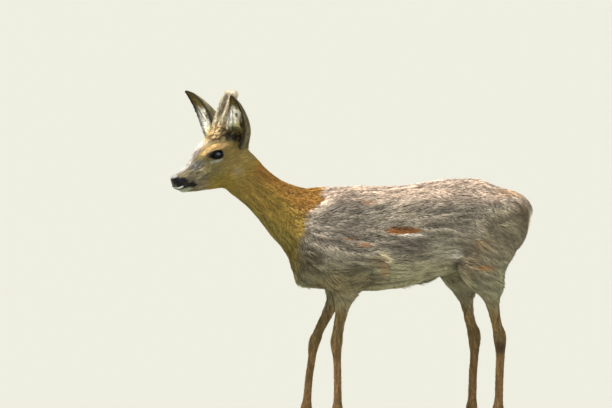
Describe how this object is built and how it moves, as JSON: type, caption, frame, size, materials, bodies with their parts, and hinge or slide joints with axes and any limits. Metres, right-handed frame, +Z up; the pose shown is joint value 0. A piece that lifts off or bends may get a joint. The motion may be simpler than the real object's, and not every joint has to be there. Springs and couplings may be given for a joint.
{
  "type": "roe deer, standing yearling buck",
  "caption": "Life-size still model of a young roebuck standing with its head turned, spike antlers in velvet, winter coat being shed.",
  "frame": {"origin": "on the floor, under the centre of the animal's bounding box", "axes": "+Z up from the floor, -X the way the trunk faces, +Y towards the animal's right side"},
  "size_m": [0.9086, 0.2462, 0.8724],
  "materials": {
    "grey_coat": "long greyish brown winter coat with pale hair tips, being shed",
    "red_coat": "short sleek reddish brown summer coat",
    "face_coat": "very short grizzled grey to yellow-brown face coat",
    "leg_coat": "short close brown coat of the legs",
    "nose_skin": "bare black moist skin with fine bumps",
    "velvet": "cream-grey velvet over growing antler",
    "hoof_horn": "dark horn, faintly shiny",
    "eye": "dark brown eye under a clear wet cornea"
  },
  "bodies": {
    "root": {"head": "face_coat", "neck": "red_coat", "trunk": "grey_coat", "tail": "grey_coat", "nose": "nose_skin", "eye_left": "eye", "eye_right": "eye", "ear_left": "face_coat", "ear_right": "face_coat", "antler_left": "velvet", "antler_right": "velvet", "foreleg_left_upper": "leg_coat", "foreleg_left_lower": "leg_coat", "foreleg_right_upper": "leg_coat", "foreleg_right_lower": "leg_coat", "hindleg_left_upper": "leg_coat", "hindleg_left_lower": "leg_coat", "hindleg_right_upper": "leg_coat", "hindleg_right_lower": "leg_coat", "hoof_foreleg_left_inner": "hoof_horn", "dewclaw_foreleg_left_inner": "hoof_horn", "hoof_foreleg_left_outer": "hoof_horn", "dewclaw_foreleg_left_outer": "hoof_horn", "hoof_foreleg_right_inner": "hoof_horn", "dewclaw_foreleg_right_inner": "hoof_horn", "hoof_foreleg_right_outer": "hoof_horn", "dewclaw_foreleg_right_outer": "hoof_horn", "hoof_hindleg_left_inner": "hoof_horn", "dewclaw_hindleg_left_inner": "hoof_horn", "hoof_hindleg_left_outer": "hoof_horn", "dewclaw_hindleg_left_outer": "hoof_horn", "hoof_hindleg_right_inner": "hoof_horn", "dewclaw_hindleg_right_inner": "hoof_horn", "hoof_hindleg_right_outer": "hoof_horn", "dewclaw_hindleg_right_outer": "hoof_horn"}
  },
  "joints": []
}
